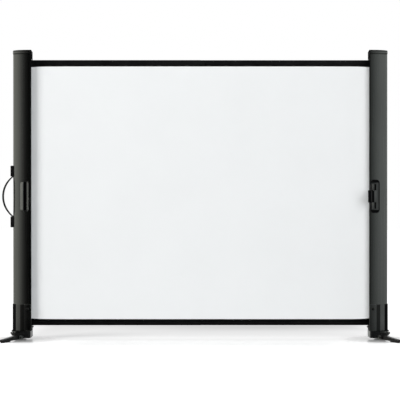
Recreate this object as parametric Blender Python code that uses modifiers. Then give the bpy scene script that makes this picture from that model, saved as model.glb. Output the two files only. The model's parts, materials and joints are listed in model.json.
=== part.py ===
"""Portable projection screen that pulls open sideways between two upright half-oval housings.

Frame: +X to the right, +Z up, the front of the screen faces -Y. The origin is on the floor,
midway between the housings. Lengths are in metres. The model stands fully open. The left
housing holds a spring roller, the right one the sheet's clamp bar. Two knee-folding rails hold
the housings apart, and folding arms under each housing are the feet.
"""

import math

import bmesh
import bpy
from mathutils import Matrix, Vector

# Sheet
SHEET_WIDTH = 1.016
SHEET_HEIGHT = 0.762
SHEET_THICKNESS = 0.0006

# Clearances
GAP = 0.0003
RUN = 0.0005
MEET = 0.0005
OVERRUN = 0.006
MERGE = 0.00001

# Edges sharper than these are rounded off
ROUND_ANGLE = math.radians(40)
EDGE_ANGLE = math.radians(60)

# Housings: half-oval shells, open towards the middle
SHELL_REACH = 0.0587
SHELL_DEPTH = 0.080
SHELL_WALL = 0.002
OVAL_POWER = 2.3
OVAL_STEPS = 28

# Caps and plugs
CAP_FLANGE = 0.0125
CAP_OVERHANG = 0.0011
CAP_EDGE = 0.0012
TOP_PLUG = 0.0113
BOTTOM_PLUG = 0.0050
PLUG_INSET = 0.001

# Foot sockets round the housings' lower ends
SOCKET_WALL = 0.0013
SOCKET_FLOOR = 0.005
SOCKET_HEIGHT = 0.081
SCREW_INSET = 0.0120
SCREW_DROP = 0.014
SCREW_RADIUS = 0.002
SCREW_HEAD_RADIUS = 0.0042
SCREW_HEAD = 0.0018
SCREW_LENGTH = 0.009

# Bases and folding arms
PAD_THICKNESS = 0.003
PAD_RADIUS = 0.0052
BASE_LIFT = 0.003
BASE_HEIGHT = 0.0207
BASE_WIDTH = 0.051
BASE_INSET = 0.003
BASE_DEPTH = 0.079
BASE_CORNER = 0.009
BASE_EDGE = 0.0015
ARM_PIVOT_IN = 0.040
ARM_STAND_OFF = 0.0105
ARM_PIVOT_OUT = BASE_DEPTH / 2 + ARM_STAND_OFF
ARM_SPLAY = math.radians(24.9)
ARM_LENGTH = 0.0926
ARM_WIDTH = 0.012
ARM_ROOT_HEIGHT = 0.012
ARM_TIP_HEIGHT = 0.006
ARM_EDGE = 0.0008
ARM_ROUND_STEPS = 8
EAR_THICKNESS = 0.0035
EAR_BACK = 0.014
ARM_PIN_RADIUS = 0.002
ARM_PIN_HEAD_RADIUS = 0.0035
ARM_PIN_HEAD = 0.0012

# Knee-folding rails
RAIL_HEIGHT = 0.0277
RAIL_THICKNESS = 0.003
RAIL_TUCK = 0.00525
RAIL_CLEAR = 0.00225
RAIL_FRONT = 0.0115
RAIL_MIDDLE_GAP = 0.003
RAIL_EDGE = 0.0004
RAIL_PIVOT_IN = 0.015
RAIL_PIN_RADIUS = 0.003
RAIL_PIN_HEAD_RADIUS = 0.0048
RAIL_PIN_HEAD = 0.0014
BRACKET_THICKNESS = 0.0016
BRACKET_WIDTH = 0.026
BRACKET_START = 0.004
BRACKET_FLANGE = 0.012
STOP_LENGTH = 0.044
STOP_THICKNESS = 0.002
STOP_LEG = 0.0045

# Roller in the left housing, placed from the housing's outer wall
ROLLER_BACK = 0.0267
ROLLER_IN = SHELL_REACH - ROLLER_BACK
ROLLER_Y = -0.008
TUBE_RADIUS = 0.013
TUBE_WALL = 0.001
TUBE_OVER = 0.002
WRAP_THICKNESS = 0.0009
ROLLER_PLUG_LENGTH = 0.030
ROLLER_COLLAR = 0.003
SPINDLE_RADIUS = 0.004
SPINDLE_LENGTH = 0.230
CUP_RADIUS = 0.008
CUP_FLOOR = 0.0012
SPRING_WIRE = 0.0008
SPRING_LENGTH = 0.090
SPRING_DROP = 0.060
SPRING_TURNS = 14
SPRING_STEPS = 10

# Clamp bar in the right housing
CLAMP_IN = 0.006
CLAMP_WIDTH = 0.013
CLAMP_DEPTH = 0.010
CLAMP_SLOT = 0.009
CLAMP_HOLD = 0.008

# Hook latch on the right housing, catch on the left one
LATCH_HEIGHT = 0.100
LATCH_CENTRE = 0.4325
LATCH_START = 0.003
LATCH_WIDTH = 0.0285
LATCH_PROUD = 0.001
LATCH_BACK = 0.028
LATCH_CORNER = 0.010
CATCH_HEIGHT = 0.092
CATCH_START = 0.0075
CATCH_WIDTH = 0.026
CATCH_PROUD = 0.0006
CATCH_SLOT_IN = 0.0155
CATCH_SLOT_WIDTH = 0.008
CATCH_SLOT_END = 0.005
CATCH_SLOT_DEPTH = 0.0085
HOOK_HEIGHT = 0.036
HOOK_PIVOT_IN = 0.0115
HOOK_PIVOT_OUT = 0.0034
HOOK_SWING = math.radians(68)
HOOK_PADDLE_TILT = math.radians(14)
HOOK_THICKNESS = 0.0025
HOOK_HUB_RADIUS = 0.003
HOOK_NIB = 0.0055
HOOK_NIB_WIDTH = 0.003
HOOK_PADDLE = 0.0110
LUG_HEIGHT = 0.010
LUG_DEPTH = 0.005
HOOK_PIN_RADIUS = 0.0015

# Carry handle on the left housing
HANDLE_CENTRE = 0.432
HANDLE_SPAN = 0.1205
HANDLE_RISE = 0.0325
HANDLE_WIDTH = 0.022
HANDLE_THICKNESS = 0.0042
HANDLE_TANG = 0.0024
HANDLE_TANG_LENGTH = 0.016
HANDLE_STEPS = 18
MOUNT_HEIGHT = 0.033
MOUNT_WIDTH = 0.028
MOUNT_PROUD = 0.0070
MOUNT_BURY = 0.006
MOUNT_SKIN = 0.0013
MOUNT_EDGE = 0.0016

# Heights, stacked from the floor
BASE_BOTTOM = PAD_THICKNESS + BASE_LIFT
BASE_TOP = BASE_BOTTOM + BASE_HEIGHT
SOCKET_BOTTOM = BASE_TOP + GAP
SHELL_BOTTOM = SOCKET_BOTTOM + SOCKET_FLOOR + GAP
LOW_PLUG_TOP = SHELL_BOTTOM + BOTTOM_PLUG
LOW_RAIL = LOW_PLUG_TOP + RAIL_CLEAR + RAIL_HEIGHT / 2
SHEET_BOTTOM = LOW_RAIL + RAIL_HEIGHT / 2 - RAIL_TUCK
SHEET_TOP = SHEET_BOTTOM + SHEET_HEIGHT
HIGH_RAIL = SHEET_TOP - RAIL_TUCK + RAIL_HEIGHT / 2
HIGH_PLUG_BOTTOM = HIGH_RAIL + RAIL_HEIGHT / 2 + RAIL_CLEAR
SHELL_TOP = HIGH_PLUG_BOTTOM + TOP_PLUG

# Places across the width and through the depth
LIP = SHEET_WIDTH / 2
RAIL_PIVOT = LIP + RAIL_PIVOT_IN
ROLLER_X = -(LIP + ROLLER_IN)
WRAP_INNER = TUBE_RADIUS + GAP
WRAP_OUTER = WRAP_INNER + WRAP_THICKNESS
SHEET_BACK = ROLLER_Y - WRAP_OUTER - GAP
SHEET_MIDDLE = SHEET_BACK - SHEET_THICKNESS / 2
HALF_DEPTH = SHELL_DEPTH / 2
ARM_PIVOT_Z = PAD_THICKNESS + GAP + ARM_ROOT_HEIGHT / 2
SIDES = {"left": -1, "right": 1}
ENDS = {"front": -1, "rear": 1}

PARTS = None
CUTTERS = None
MATERIALS = {}


def clear_scene():
    for old in list(bpy.data.objects):
        bpy.data.objects.remove(old, do_unlink=True)


def new_collection(name):
    collection = bpy.data.collections.new(name)
    bpy.context.scene.collection.children.link(collection)
    return collection


def material(name, colour, roughness, metallic=0.0):
    """Principled BSDF with one colour, made once for each name."""
    if name not in MATERIALS:
        made = bpy.data.materials.new(name)
        made.use_nodes = True
        shader = made.node_tree.nodes["Principled BSDF"]
        shader.inputs["Base Color"].default_value = (*colour, 1.0)
        shader.inputs["Roughness"].default_value = roughness
        shader.inputs["Metallic"].default_value = metallic
        made.diffuse_color = (*colour, 1.0)
        MATERIALS[name] = made
    return MATERIALS[name]


def anodised():
    return material("anodised_grey", (0.09, 0.09, 0.085), 0.42, 0.6)


def black_plastic():
    return material("black_plastic", (0.015, 0.015, 0.016), 0.5)


def rail_paint():
    return material("black_rail_paint", (0.012, 0.012, 0.013), 0.55)


def steel():
    return material("zinc_steel", (0.55, 0.55, 0.54), 0.35, 1.0)


def white_sheet():
    return material("matt_white_sheet", (0.84, 0.85, 0.85), 0.85)


def rubber():
    return material("black_rubber", (0.02, 0.02, 0.02), 0.9)


def add_object(name, data, finish, location=(0, 0, 0), rotation=None, cutter=False):
    """Link a mesh or curve as an object, among the parts or among the cutters."""
    piece = bpy.data.objects.new(name, data)
    (CUTTERS if cutter else PARTS).objects.link(piece)
    if finish is not None and not piece.data.materials:
        piece.data.materials.append(finish)
    frame = rotation if rotation is not None else Matrix.Identity(3)
    piece.matrix_world = Matrix.Translation(location) @ frame.to_4x4()
    if cutter:
        piece.hide_render = True
        piece.display_type = "WIRE"
    return piece


def axes(along_x, along_y, along_z):
    """Rotation whose columns are the given directions of the local axes."""
    return Matrix((along_x, along_y, along_z)).transposed()


# Frames for outlines: an outline's plane is local XY, its thickness runs along local Z
FLAT = Matrix.Identity(3)
UPRIGHT_XZ = axes((1, 0, 0), (0, 0, 1), (0, -1, 0))
UPRIGHT_YZ = axes((0, 1, 0), (0, 0, 1), (1, 0, 0))


def plate(name, outline, thickness, finish, location=(0, 0, 0), rotation=FLAT, cutter=False):
    """Closed prism on a flat outline, centred on the outline's plane."""
    curve = bpy.data.curves.new(name, "CURVE")
    curve.dimensions = "2D"
    curve.fill_mode = "BOTH"
    curve.extrude = thickness / 2
    spline = curve.splines.new("POLY")
    spline.points.add(len(outline) - 1)
    for point, (u, v) in zip(spline.points, outline):
        point.co = (u, v, 0, 1)
    spline.use_cyclic_u = True
    holder = bpy.data.objects.new(name, curve)
    CUTTERS.objects.link(holder)
    bpy.context.view_layer.update()
    evaluated = holder.evaluated_get(bpy.context.evaluated_depsgraph_get())
    mesh = bpy.data.meshes.new_from_object(evaluated)
    bpy.data.objects.remove(holder, do_unlink=True)
    bpy.data.curves.remove(curve)
    shape = bmesh.new()
    shape.from_mesh(mesh)
    bmesh.ops.remove_doubles(shape, verts=shape.verts, dist=MERGE)
    bmesh.ops.recalc_face_normals(shape, faces=shape.faces)
    shape.to_mesh(mesh)
    shape.free()
    mesh.name = name
    mesh.materials.clear()
    return add_object(name, mesh, finish, location, rotation, cutter)


def box(name, size, finish, location=(0, 0, 0), rotation=FLAT, cutter=False):
    mesh = bpy.data.meshes.new(name)
    shape = bmesh.new()
    bmesh.ops.create_cube(shape, size=1, matrix=Matrix.Diagonal((*size, 1)))
    shape.to_mesh(mesh)
    shape.free()
    return add_object(name, mesh, finish, location, rotation, cutter)


def turned(name, profile, finish, location, rotation=FLAT, sides=20, ring=False, cutter=False):
    """Profile of (radius, height) points, run down its outer side, turned about local Z."""
    mesh = bpy.data.meshes.new(name)
    count = len(profile)
    edges = [(i, i + 1) for i in range(count - 1)] + ([(count - 1, 0)] if ring else [])
    mesh.from_pydata([(radius, 0, height) for radius, height in profile], edges, [])
    piece = add_object(name, mesh, finish, location, rotation, cutter)
    screw = piece.modifiers.new("turn", "SCREW")
    screw.axis = "Z"
    screw.angle = math.tau
    screw.steps = sides
    screw.render_steps = sides
    screw.use_merge_vertices = True
    screw.merge_threshold = MERGE
    screw.use_smooth_shade = False
    return piece


def rod(name, radius, low, high, finish, location, rotation=FLAT, sides=20, cutter=False):
    profile = [(0, high), (radius, high), (radius, low), (0, low)]
    return turned(name, profile, finish, location, rotation, sides, cutter=cutter)


def sleeve(name, outer, inner, low, high, finish, location, sides=24, cutter=False):
    profile = [(outer, high), (outer, low), (inner, low), (inner, high)]
    return turned(name, profile, finish, location, FLAT, sides, ring=True, cutter=cutter)


def rivet(name, radius, head_radius, head, grip_low, grip_high, finish, location, rotation):
    """Pin with a flat head at each end, seated one gap off what it grips along local Z."""
    low, high = grip_low - GAP, grip_high + GAP
    profile = [
        (0, high + head),
        (head_radius, high + head),
        (head_radius, high),
        (radius, high),
        (radius, low),
        (head_radius, low),
        (head_radius, low - head),
        (0, low - head),
    ]
    return turned(name, profile, finish, location, rotation, sides=16)


def combine(piece, tool, operation):
    change = piece.modifiers.new(operation.lower(), "BOOLEAN")
    change.operation = operation
    change.object = tool
    return piece


def cut(piece, tool):
    return combine(piece, tool, "DIFFERENCE")


def fuse(piece, tool):
    return combine(piece, tool, "UNION")


def bevel(piece, width, segments=2, angle=ROUND_ANGLE):
    change = piece.modifiers.new("edge", "BEVEL")
    change.width = width
    change.segments = segments
    change.limit_method = "ANGLE"
    change.angle_limit = angle
    return piece


def half_oval(side, reach, half_depth, start=0.0):
    """Points of a half superellipse bulging outwards from its straight side."""
    points = []
    for step in range(OVAL_STEPS + 1):
        turn = math.pi * (step / OVAL_STEPS - 0.5)
        across = max(math.cos(turn), 0) ** (2 / OVAL_POWER)
        along = math.copysign(abs(math.sin(turn)) ** (2 / OVAL_POWER), math.sin(turn))
        points.append((side * (start + (reach - start) * across), half_depth * along))
    return points


def cee(side, outer, inner):
    """Outline of a half-oval wall: outer and inner are (reach, half depth)."""
    return half_oval(side, *outer) + half_oval(side, *inner)[::-1]


def rounded(width, height, radius, steps=5):
    """Rectangle with round corners, centred on zero."""
    points = []
    for quarter, (right, up) in enumerate(((1, 1), (-1, 1), (-1, -1), (1, -1))):
        for step in range(steps + 1):
            turn = math.pi / 2 * (quarter + step / steps)
            u = right * (width / 2 - radius) + radius * math.cos(turn)
            v = up * (height / 2 - radius) + radius * math.sin(turn)
            points.append((u, v))
    return points


def stadium(start, end, radius, steps=10):
    """Bar from start to end along u, with a full round at both ends."""
    points = []
    for step in range(steps + 1):
        turn = math.pi * (step / steps - 0.5)
        points.append((end + radius * math.cos(turn), radius * math.sin(turn)))
    for step in range(steps + 1):
        turn = math.pi * (step / steps + 0.5)
        points.append((start + radius * math.cos(turn), radius * math.sin(turn)))
    return points


def oval_front(across, reach=SHELL_REACH, half_depth=HALF_DEPTH):
    """Depth of the oval's surface at a distance outwards from the lip."""
    return half_depth * (1 - (across / reach) ** OVAL_POWER) ** (1 / OVAL_POWER)


def upright(low, high):
    """Thickness and centre height of a prism between two heights."""
    return high - low, (low + high) / 2


def housing(side_name):
    side = SIDES[side_name]
    height, middle = upright(SHELL_BOTTOM, SHELL_TOP)
    outline = cee(
        side,
        (SHELL_REACH, HALF_DEPTH),
        (SHELL_REACH - SHELL_WALL, HALF_DEPTH - SHELL_WALL),
    )
    shell = plate(f"{side_name}_housing", outline, height, anodised(), (side * LIP, 0, middle))
    return shell


def top_cap(side_name):
    side = SIDES[side_name]
    place = side * LIP
    outer = half_oval(side, SHELL_REACH + CAP_OVERHANG, HALF_DEPTH + CAP_OVERHANG)
    height, middle = upright(SHELL_TOP + GAP, SHELL_TOP + GAP + CAP_FLANGE)
    cap = plate(f"{side_name}_top_cap", outer, height, black_plastic(), (place, 0, middle))
    bevel(cap, CAP_EDGE, 2)
    fit = SHELL_WALL + GAP
    inner = half_oval(side, SHELL_REACH - fit, HALF_DEPTH - fit, PLUG_INSET)
    height, middle = upright(HIGH_PLUG_BOTTOM, SHELL_TOP + CAP_FLANGE / 2)
    plug = plate("cap_plug", inner, height, None, (place, 0, middle), cutter=True)
    return fuse(cap, plug)


def bottom_plug(side_name):
    side = SIDES[side_name]
    fit = SHELL_WALL + GAP
    outline = half_oval(side, SHELL_REACH - fit, HALF_DEPTH - fit, PLUG_INSET)
    height, middle = upright(SHELL_BOTTOM, LOW_PLUG_TOP)
    name = f"{side_name}_bottom_plug"
    return plate(name, outline, height, black_plastic(), (side * LIP, 0, middle))


def foot_socket(side_name):
    side = SIDES[side_name]
    place = side * LIP
    outer = SHELL_REACH + GAP + SOCKET_WALL, HALF_DEPTH + GAP + SOCKET_WALL
    height, middle = upright(SOCKET_BOTTOM, SOCKET_BOTTOM + SOCKET_HEIGHT)
    name = f"{side_name}_foot_socket"
    socket = plate(name, half_oval(side, *outer), height, black_plastic(), (place, 0, middle))
    inner = half_oval(side, SHELL_REACH + GAP, HALF_DEPTH + GAP)
    inner = [(-side * OVERRUN, inner[0][1])] + inner + [(-side * OVERRUN, inner[-1][1])]
    floor = SOCKET_BOTTOM + SOCKET_FLOOR
    height, middle = upright(floor, SOCKET_BOTTOM + SOCKET_HEIGHT + OVERRUN)
    hollow = plate("socket_hollow", inner, height, None, (place, 0, middle), cutter=True)
    return cut(socket, hollow)


def socket_screw(side_name, socket, shell):
    """Pan-head screw through the socket's and the housing's front walls."""
    side = SIDES[side_name]
    face = oval_front(
        SCREW_INSET - SCREW_HEAD_RADIUS,
        SHELL_REACH + GAP + SOCKET_WALL,
        HALF_DEPTH + GAP + SOCKET_WALL,
    )
    place = (side * (LIP + SCREW_INSET), -face - GAP, SOCKET_BOTTOM + SOCKET_HEIGHT - SCREW_DROP)
    facing = UPRIGHT_XZ
    name = f"{side_name}_socket_screw"
    profile = [
        (0, SCREW_HEAD),
        (SCREW_HEAD_RADIUS / 2, SCREW_HEAD),
        (SCREW_HEAD_RADIUS, SCREW_HEAD / 2),
        (SCREW_HEAD_RADIUS, 0),
        (SCREW_RADIUS, 0),
        (SCREW_RADIUS, -SCREW_LENGTH),
        (0, -SCREW_LENGTH),
    ]
    screw = turned(name, profile, steel(), place, facing, sides=16)
    low = -SCREW_LENGTH - OVERRUN
    hole = rod("screw_hole", SCREW_RADIUS + GAP, low, OVERRUN, None, place, facing, 16, True)
    cut(socket, hole)
    cut(shell, hole)
    return screw


def arm_frame(side_name, end_name):
    """Pivot point, and axes: x along the arm, y up, z along the hinge."""
    side, end = SIDES[side_name], ENDS[end_name]
    pivot = Vector((side * (LIP + ARM_PIVOT_IN), end * ARM_PIVOT_OUT, ARM_PIVOT_Z))
    along = Vector((side * math.sin(ARM_SPLAY), end * math.cos(ARM_SPLAY), 0))
    hinge = along.cross(Vector((0, 0, 1)))
    return pivot, axes(along, (0, 0, 1), hinge)


def base(side_name):
    """Block under the housing with an ear pair at the front and one at the rear."""
    side = SIDES[side_name]
    height, middle = upright(BASE_BOTTOM, BASE_TOP)
    place = (side * (LIP + BASE_INSET + BASE_WIDTH / 2), 0, middle)
    outline = rounded(BASE_WIDTH, BASE_DEPTH, BASE_CORNER)
    block = plate(f"{side_name}_base", outline, height, black_plastic(), place)
    bevel(block, BASE_EDGE, 2, EDGE_ANGLE)
    ear_radius = ARM_PIVOT_Z - PAD_THICKNESS
    spread = ARM_WIDTH + 2 * RUN
    for end_name in ENDS:
        pivot, frame = arm_frame(side_name, end_name)
        outline = stadium(-EAR_BACK, 0, ear_radius)
        thickness = spread + 2 * EAR_THICKNESS
        ears = plate("ears", outline, thickness, None, pivot, frame, cutter=True)
        fuse(block, ears)
    for end_name in ENDS:
        pivot, frame = arm_frame(side_name, end_name)
        slot_back = ARM_ROOT_HEIGHT / 2 + RUN
        outline = [
            (-slot_back, -slot_back - OVERRUN),
            (slot_back + OVERRUN, -slot_back - OVERRUN),
            (slot_back + OVERRUN, slot_back + OVERRUN),
            (-slot_back, slot_back + OVERRUN),
        ]
        slot = plate("ear_slot", outline, spread, None, pivot, frame, cutter=True)
        cut(block, slot)
        cut(block, arm_bore(pivot, frame))
    return block


def arm_bore(pivot, frame):
    reach = ARM_WIDTH / 2 + EAR_THICKNESS + OVERRUN
    return rod("arm_bore", ARM_PIN_RADIUS + GAP, -reach, reach, None, pivot, frame, 16, True)


def arm(side_name, end_name):
    pivot, frame = arm_frame(side_name, end_name)
    root = ARM_ROOT_HEIGHT / 2
    tip_top = ARM_TIP_HEIGHT - root
    outline = []
    for step in range(ARM_ROUND_STEPS + 1):
        turn = math.pi * (step / ARM_ROUND_STEPS + 0.5)
        outline.append((root * math.cos(turn), root * math.sin(turn)))
    tip_round = ARM_TIP_HEIGHT / 2
    for step in range(ARM_ROUND_STEPS + 1):
        turn = math.pi * (step / ARM_ROUND_STEPS - 0.5)
        u = ARM_LENGTH - tip_round + tip_round * math.cos(turn)
        outline.append((u, tip_top - tip_round + tip_round * math.sin(turn)))
    outline.append((2 * root, root))
    name = f"{side_name}_{end_name}_foot"
    piece = plate(name, outline, ARM_WIDTH, black_plastic(), pivot, frame)
    cut(piece, arm_bore(pivot, frame))
    return bevel(piece, ARM_EDGE, 1, EDGE_ANGLE)


def arm_pin(side_name, end_name):
    pivot, frame = arm_frame(side_name, end_name)
    grip = ARM_WIDTH / 2 + RUN + EAR_THICKNESS
    name = f"{side_name}_{end_name}_foot_pin"
    size = ARM_PIN_RADIUS, ARM_PIN_HEAD_RADIUS, ARM_PIN_HEAD
    return rivet(name, *size, -grip, grip, steel(), pivot, frame)


def foot_pad(side_name, end_name):
    pivot, frame = arm_frame(side_name, end_name)
    along = frame @ Vector((1, 0, 0))
    centre = pivot + along * (ARM_LENGTH - ARM_TIP_HEIGHT / 2 - PAD_RADIUS)
    place = (centre.x, centre.y, 0)
    return rod(f"{side_name}_{end_name}_foot_pad", PAD_RADIUS, 0, PAD_THICKNESS, rubber(), place)


def rail_front(level, side_name):
    """Front face of each rail link: four layers, so that all fold past each other."""
    front = RAIL_FRONT
    if level == "bottom":
        front += 2 * RAIL_THICKNESS + RUN + RAIL_MIDDLE_GAP
    if side_name == "right":
        front += RAIL_THICKNESS + RUN
    return front


def rail_height(level):
    return HIGH_RAIL if level == "top" else LOW_RAIL


def rail_bore(across, front, height):
    place = (across, front, height)
    reach = RAIL_THICKNESS + BRACKET_THICKNESS + OVERRUN
    return rod("rail_bore", RAIL_PIN_RADIUS + GAP, -reach, reach, None, place, UPRIGHT_XZ, 16, True)


def rail(level, side_name):
    """Flat link from its housing's pivot to the knee, or from the knee to the housing."""
    height = rail_height(level)
    start = -RAIL_PIVOT if side_name == "left" else 0
    front = rail_front(level, side_name)
    place = (start, front + RAIL_THICKNESS / 2, height)
    outline = stadium(0, RAIL_PIVOT, RAIL_HEIGHT / 2)
    name = f"{level}_{side_name}_rail"
    link = plate(name, outline, RAIL_THICKNESS, rail_paint(), place, UPRIGHT_XZ)
    bevel(link, RAIL_EDGE, 1, EDGE_ANGLE)
    cut(link, rail_bore(start, front, height))
    cut(link, rail_bore(start + RAIL_PIVOT, front, height))
    return link


def knee_pin(level):
    low = rail_front(level, "left")
    high = rail_front(level, "right") + RAIL_THICKNESS
    size = RAIL_PIN_RADIUS, RAIL_PIN_HEAD_RADIUS, RAIL_PIN_HEAD
    place = (0, 0, rail_height(level))
    return rivet(f"{level}_knee_pin", *size, -high, -low, steel(), place, UPRIGHT_XZ)


def knee_stop(level):
    """Angle under the knee, or over it at the bottom, that the straight links bear on."""
    side = -1 if level == "top" else 1
    near = RAIL_HEIGHT / 2 + GAP
    far = near + STOP_THICKNESS
    front = rail_front(level, "left") - GAP
    back = rail_front(level, "right") + RAIL_THICKNESS
    leg = RAIL_HEIGHT / 2 - STOP_LEG
    outline = [
        (front - STOP_THICKNESS, side * far),
        (back, side * far),
        (back, side * near),
        (front, side * near),
        (front, side * leg),
        (front - STOP_THICKNESS, side * leg),
    ]
    place = (0, 0, rail_height(level))
    return plate(f"{level}_knee_stop", outline, STOP_LENGTH, rail_paint(), place, UPRIGHT_YZ)


def rail_bracket(level, side_name):
    """Angle behind the link's end, its flange against the plug."""
    side = SIDES[side_name]
    front = rail_front(level, side_name) + RAIL_THICKNESS + RUN
    back = front + BRACKET_THICKNESS
    height = rail_height(level)
    if level == "top":
        seat, inward = HIGH_PLUG_BOTTOM - GAP, -1
    else:
        seat, inward = LOW_PLUG_TOP + GAP, 1
    far = height + inward * RAIL_HEIGHT / 2
    outline = [
        (back, seat),
        (back, far),
        (front, far),
        (front, seat + inward * BRACKET_THICKNESS),
        (back - BRACKET_FLANGE, seat + inward * BRACKET_THICKNESS),
        (back - BRACKET_FLANGE, seat),
    ]
    place = (side * (LIP + BRACKET_START + BRACKET_WIDTH / 2), 0, 0)
    name = f"{level}_{side_name}_rail_bracket"
    angle = plate(name, outline, BRACKET_WIDTH, steel(), place, UPRIGHT_YZ)
    return cut(angle, rail_bore(side * RAIL_PIVOT, front, height))


def rail_pin(level, side_name):
    side = SIDES[side_name]
    low = rail_front(level, side_name)
    high = low + RAIL_THICKNESS + RUN + BRACKET_THICKNESS
    place = (side * RAIL_PIVOT, 0, rail_height(level))
    size = RAIL_PIN_RADIUS, RAIL_PIN_HEAD_RADIUS, RAIL_PIN_HEAD
    name = f"{level}_{side_name}_rail_pin"
    return rivet(name, *size, -high, -low, steel(), place, UPRIGHT_XZ)


def roller():
    """Tube, its plugs, the wound sheet, the fixed spindle with its spring, and two cups."""
    place = (ROLLER_X, ROLLER_Y, 0)
    low, high = SHEET_BOTTOM - TUBE_OVER, SHEET_TOP + TUBE_OVER
    bore = TUBE_RADIUS - TUBE_WALL
    tube = sleeve("roller_tube", TUBE_RADIUS, bore, low, high, anodised(), place)
    wrap = sleeve(
        "wound_sheet", WRAP_OUTER, WRAP_INNER, SHEET_BOTTOM, SHEET_TOP, white_sheet(), place
    )
    fit = bore - GAP
    hole = SPINDLE_RADIUS + GAP
    top = high + GAP
    top_profile = [
        (TUBE_RADIUS, top + ROLLER_COLLAR),
        (TUBE_RADIUS, top),
        (fit, top),
        (fit, top - ROLLER_PLUG_LENGTH),
        (hole, top - ROLLER_PLUG_LENGTH),
        (hole, top + ROLLER_COLLAR),
    ]
    top_plug = turned("roller_top_plug", top_profile, black_plastic(), place, ring=True)
    foot = low - GAP
    cup_floor = LOW_PLUG_TOP + GAP + CUP_FLOOR
    low_profile = [
        (0, foot + ROLLER_PLUG_LENGTH),
        (fit, foot + ROLLER_PLUG_LENGTH),
        (fit, foot),
        (TUBE_RADIUS, foot),
        (TUBE_RADIUS, foot - ROLLER_COLLAR),
        (SPINDLE_RADIUS, foot - ROLLER_COLLAR),
        (SPINDLE_RADIUS, cup_floor + GAP),
        (0, cup_floor + GAP),
    ]
    low_plug = turned("roller_bottom_plug", low_profile, black_plastic(), place)
    low_cup_profile = [
        (CUP_RADIUS, foot - ROLLER_COLLAR - GAP),
        (CUP_RADIUS, LOW_PLUG_TOP + GAP),
        (0, LOW_PLUG_TOP + GAP),
        (0, cup_floor),
        (hole, cup_floor),
        (hole, foot - ROLLER_COLLAR - GAP),
    ]
    low_cup = turned("roller_bottom_cup", low_cup_profile, steel(), place, ring=True)
    cup_roof = HIGH_PLUG_BOTTOM - GAP
    high_cup_profile = [
        (0, cup_roof),
        (CUP_RADIUS, cup_roof),
        (CUP_RADIUS, top + ROLLER_COLLAR + GAP),
        (hole, top + ROLLER_COLLAR + GAP),
        (hole, cup_roof - CUP_FLOOR),
        (0, cup_roof - CUP_FLOOR),
    ]
    high_cup = turned("roller_top_cup", high_cup_profile, steel(), place)
    spindle_top = cup_roof - CUP_FLOOR - GAP
    spindle = rod(
        "roller_spindle",
        SPINDLE_RADIUS,
        spindle_top - SPINDLE_LENGTH,
        spindle_top,
        steel(),
        place,
    )
    spring = coil(
        "roller_spring",
        SPINDLE_RADIUS + GAP + SPRING_WIRE,
        spindle_top - SPRING_DROP - SPRING_LENGTH,
        SPRING_LENGTH,
        place,
    )
    turning = [tube, wrap, top_plug, low_plug]
    fixed = [low_cup, high_cup, spindle, spring]
    return turning, fixed


def coil(name, radius, low, length, place):
    """Helical wire about a vertical axis."""
    curve = bpy.data.curves.new(name, "CURVE")
    curve.dimensions = "3D"
    curve.bevel_depth = SPRING_WIRE
    curve.bevel_resolution = 1
    curve.use_fill_caps = True
    spline = curve.splines.new("POLY")
    count = SPRING_TURNS * SPRING_STEPS
    spline.points.add(count)
    for index, point in enumerate(spline.points):
        turn = math.tau * index / SPRING_STEPS
        height = low + length * index / count
        point.co = (radius * math.cos(turn), radius * math.sin(turn), height, 1)
    return add_object(name, curve, steel(), place)


def sheet():
    """Stretched sheet from the roller's front to inside the clamp bar's slot."""
    start = ROLLER_X
    end = LIP + CLAMP_IN + CLAMP_HOLD
    size = (end - start, SHEET_THICKNESS, SHEET_HEIGHT)
    place = ((start + end) / 2, SHEET_MIDDLE, (SHEET_BOTTOM + SHEET_TOP) / 2)
    return box("screen_sheet", size, white_sheet(), place)


def clamp_bar():
    """Bar with a slot that grips the sheet's free edge, standing between the plugs."""
    low, high = LOW_PLUG_TOP + GAP, HIGH_PLUG_BOTTOM - GAP
    height, middle = upright(low, high)
    slot = SHEET_THICKNESS / 2 + GAP
    half = CLAMP_DEPTH / 2
    outline = [
        (0, -half),
        (CLAMP_WIDTH, -half),
        (CLAMP_WIDTH, half),
        (0, half),
        (0, slot),
        (CLAMP_SLOT, slot),
        (CLAMP_SLOT, -slot),
        (0, -slot),
    ]
    place = (LIP + CLAMP_IN, SHEET_MIDDLE, middle)
    return plate("sheet_clamp_bar", outline, height, anodised(), place)


def front_insert(name, side_name, shell, start, width, height, proud, finish):
    """Block set in the housing's front wall, its face following the oval."""
    side = SIDES[side_name]
    centre = side * (LIP + start + width / 2)
    front, back = HALF_DEPTH + OVERRUN, LATCH_BACK
    depth, middle = upright(back, front)
    place = (centre, -middle, LATCH_CENTRE)
    corner = min(LATCH_CORNER, width / 2 - GAP)
    outline = rounded(width, height, corner)
    insert = plate(name, outline, depth, finish, place, UPRIGHT_XZ)
    oval = half_oval(side, SHELL_REACH + proud, HALF_DEPTH + proud)
    tall = 2 * height
    place_oval = (side * LIP, 0, LATCH_CENTRE)
    shape = plate("insert_face", oval, tall, None, place_oval, cutter=True)
    combine(insert, shape, "INTERSECT")
    window_outline = rounded(width + 2 * GAP, height + 2 * GAP, corner + GAP)
    window = plate("insert_window", window_outline, depth, None, place, UPRIGHT_XZ, True)
    cut(shell, window)
    return insert


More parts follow.
